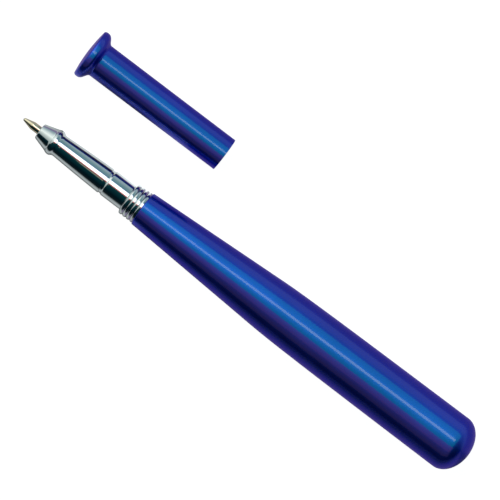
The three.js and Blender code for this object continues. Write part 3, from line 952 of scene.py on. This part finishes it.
def surroundings():
    """A pale studio with a dark wall on one long side of the pen. The camera sees only a white backdrop."""
    world = bpy.data.worlds.new("studio")
    bpy.context.scene.world = world
    world.use_nodes = True
    tree = Tree(world.node_tree)
    way = tree.add("ShaderNodeSeparateXYZ", Vector=tree.add("ShaderNodeTexCoord").outputs["Generated"])
    angle = tree.math("ARCTAN2", way.outputs["Y"], way.outputs["Z"])
    round_the_pen = tree.ramp(tree.between(angle, -math.pi, math.pi),
                              [(degrees / 360 + 0.5, colour) for degrees, colour in STUDIO_ROUND_THE_PEN])
    wall_colour = tree.ramp(tree.between(way.outputs["Y"], -1.0, 1.0),
                            [(lean / 2 + 0.5, colour) for lean, colour in TIP_WALL])
    wall_colour = tree.scaled(wall_colour, (TIP_WALL_GLOW,) * 3)
    slant = tree.math("MULTIPLY", tree.math("MINIMUM", way.outputs["Y"], 0.0), TIP_WALL_SLANT)
    past_tip = tree.math("SUBTRACT", slant, way.outputs["X"])
    wall = tree.between(past_tip, TIP_WALL_FROM, TIP_WALL_FULL)
    lit = tree.tree.nodes["Background"]
    tree.put(lit.inputs["Color"], tree.mixed(wall, round_the_pen, wall_colour))
    backdrop = tree.add("ShaderNodeBackground", Color=WHITE)
    seen = tree.add("ShaderNodeLightPath").outputs["Is Camera Ray"]
    choice = tree.add("ShaderNodeMixShader", Fac=seen)
    tree.put(choice.inputs[1], lit.outputs[0])
    tree.put(choice.inputs[2], backdrop.outputs[0])
    tree.put(tree.tree.nodes["World Output"].inputs["Surface"], choice.outputs[0])


def area_light(name, lit_pieces, length, width, radiance, colour, place, turn):
    """A soft rectangle of light that shines only on some pieces, hidden from the camera."""
    light = bpy.data.lights.new(name, "AREA")
    light.shape = "RECTANGLE"
    light.size = length
    light.size_y = width
    light.energy = radiance * math.pi * length * width
    light.color = colour
    placed = bpy.data.objects.new(name, light)
    bpy.context.collection.objects.link(placed)
    placed.location = place
    placed.rotation_euler = (turn, 0, 0)
    placed.visible_camera = False
    lit = bpy.data.collections.new(name + "_lights")
    for piece in lit_pieces:
        lit.objects.link(piece)
    placed.light_linking.receiver_collection = lit


def softbox(name, lit_pieces, middle, angles, length, radiance, colour):
    """A light above the pen and along it, from one angle off the vertical to another."""
    low, high = angles
    angle = math.radians((low + high) / 2)
    width = 2 * SOFTBOX_DISTANCE * math.tan(math.radians(high - low) / 2)
    place = (middle, SOFTBOX_DISTANCE * math.sin(angle), SOFTBOX_DISTANCE * math.cos(angle))
    area_light(name, lit_pieces, length, width, radiance, colour, place, -angle)


def bounce_card(lit_pieces):
    """A pale card that lights the section's upper rim from below."""
    area_light("bounce_card", lit_pieces, CARD_LENGTH, CARD_WIDTH, CARD_RADIANCE, WHITE[:3], CARD_MIDDLE,
               math.pi)


def studio(blue_pieces, bright_pieces):
    pale_floor()
    surroundings()
    lit = {"blue": blue_pieces, "bright": bright_pieces}
    for name, kind, *settings in SOFTBOXES:
        softbox(name, lit[kind], *settings)
    bounce_card(bright_pieces)


def camera():
    data = bpy.data.cameras.new("above")
    data.sensor_width = SENSOR_WIDTH
    data.lens = SENSOR_WIDTH * (CAMERA_HEIGHT - PEN_HEIGHT) / VIEW_WIDTH
    data.clip_end = CAMERA_REACH
    made = bpy.data.objects.new("above", data)
    bpy.context.collection.objects.link(made)
    made.location = (*VIEW_MIDDLE, CAMERA_HEIGHT)
    made.rotation_euler = (0, 0, VIEW_ROLL)
    bpy.context.scene.camera = made


# The pieces, each with the body it rides on, the CAD node it stands for and its finish

def dressed(piece, body, node, material):
    """A piece with no body here is blended between two by its maker, and one with no node stands for none."""
    piece.data.materials.clear()
    piece.data.materials.append(material)
    if body is not None:
        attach(piece, body)
    if node is not None:
        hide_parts(node)
    return piece


def pen():
    blue = anodised_blue("anodised_blue_barrel", PEN)
    chrome = chrome_plate("chrome_plate", PEN)
    nickel = bare_metal("nickel_silver", PEN, *NICKEL_SILVER)
    steel = bare_metal("ball_steel", PEN, *BALL_STEEL)
    wire = bare_metal("spring_wire", PEN, *SPRING_WIRE)
    black = moulded_plastic("black_moulding", PEN, *BLACK_MOULDING)
    clear = moulded_plastic("clear_tube", PEN, *CLEAR_MOULDING, clear=TUBE_CLEARNESS)
    pieces = [
        ("barrel", "barrel", "barrel_shell", "blue_anodised", blue, barrel_outline(), CASING_SIDES),
        ("threaded_insert", "barrel", "barrel_insert", "black_plastic", black, insert_outline(), INNER_SIDES),
        ("nose", "section", "nose_cone", "mirror_chrome", chrome, nose_outline(), CASING_SIDES),
        ("beaded_grip", "section", "grip", "mirror_chrome", chrome, grip_outline(), CASING_SIDES),
        ("sleeve", "section", "section_sleeve", "mirror_chrome", chrome, sleeve_outline(), CASING_SIDES),
        ("collar_rings", "section", "ribbed_collar", "mirror_chrome", chrome, collar_outline(), CASING_SIDES),
        ("point", "refill", "refill_point", "nickel_silver", nickel, point_outline(), INNER_SIDES),
        ("ink_tube", "refill", "refill_tube", "clear_plastic", clear, tube_outline(), INNER_SIDES),
        ("ink", "refill", "ink_column", "ink", writing_ink("blue_black_ink"), ink_outline(), INNER_SIDES),
        ("writing_ball", "ball", "point_ball", "hard_steel", steel, writing_ball(), INNER_SIDES),
    ]
    made = {}
    for name, body, node, slot, material, outline, sides in pieces:
        made[name] = dressed(turned(name, PEN, outline, sides), body, node, material)
    turns = int((TENON_REAR - TENON_FRONT - THREAD_RUNOUT) / THREAD_PITCH)
    thread = coiled("tenon_thread", PEN, thread_section(), THREAD_PITCH, turns, THREAD_SIDES)
    made["tenon_thread"] = dressed(thread, "section", None, chrome)
    pitch = (SPRING_REAR - SPRING_FRONT) / SPRING_TURNS
    spring = coiled("spring", PEN, wire_section(), pitch, SPRING_TURNS, SPRING_STEPS)
    made["spring"] = dressed(spring, None, "refill_spring", wire)
    # The front end goes with the refill and the rear end stays, so the spring grows as the refill comes out.
    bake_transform(spring)
    return made


def cap():
    blue = anodised_blue("anodised_blue_cap", CAP)
    white = moulded_plastic("white_moulding", CAP, *WHITE_MOULDING)
    knobbed_cap = turned("knobbed_cap", CAP, cap_outline())
    snap_liner = turned("snap_liner", CAP, liner_outline())
    return {
        "knobbed_cap": dressed(knobbed_cap, "cap", "cap_shell", blue),
        "snap_liner": dressed(snap_liner, "cap", "cap_liner", white),
    }


def colour_settings():
    scene = bpy.context.scene
    scene.view_settings.view_transform = "Standard"
    scene.cycles.use_denoising = True


pieces = {**pen(), **cap()}
blue_pieces = [pieces.pop("barrel"), pieces.pop("knobbed_cap")]
studio(blue_pieces, list(pieces.values()))
camera()
colour_settings()
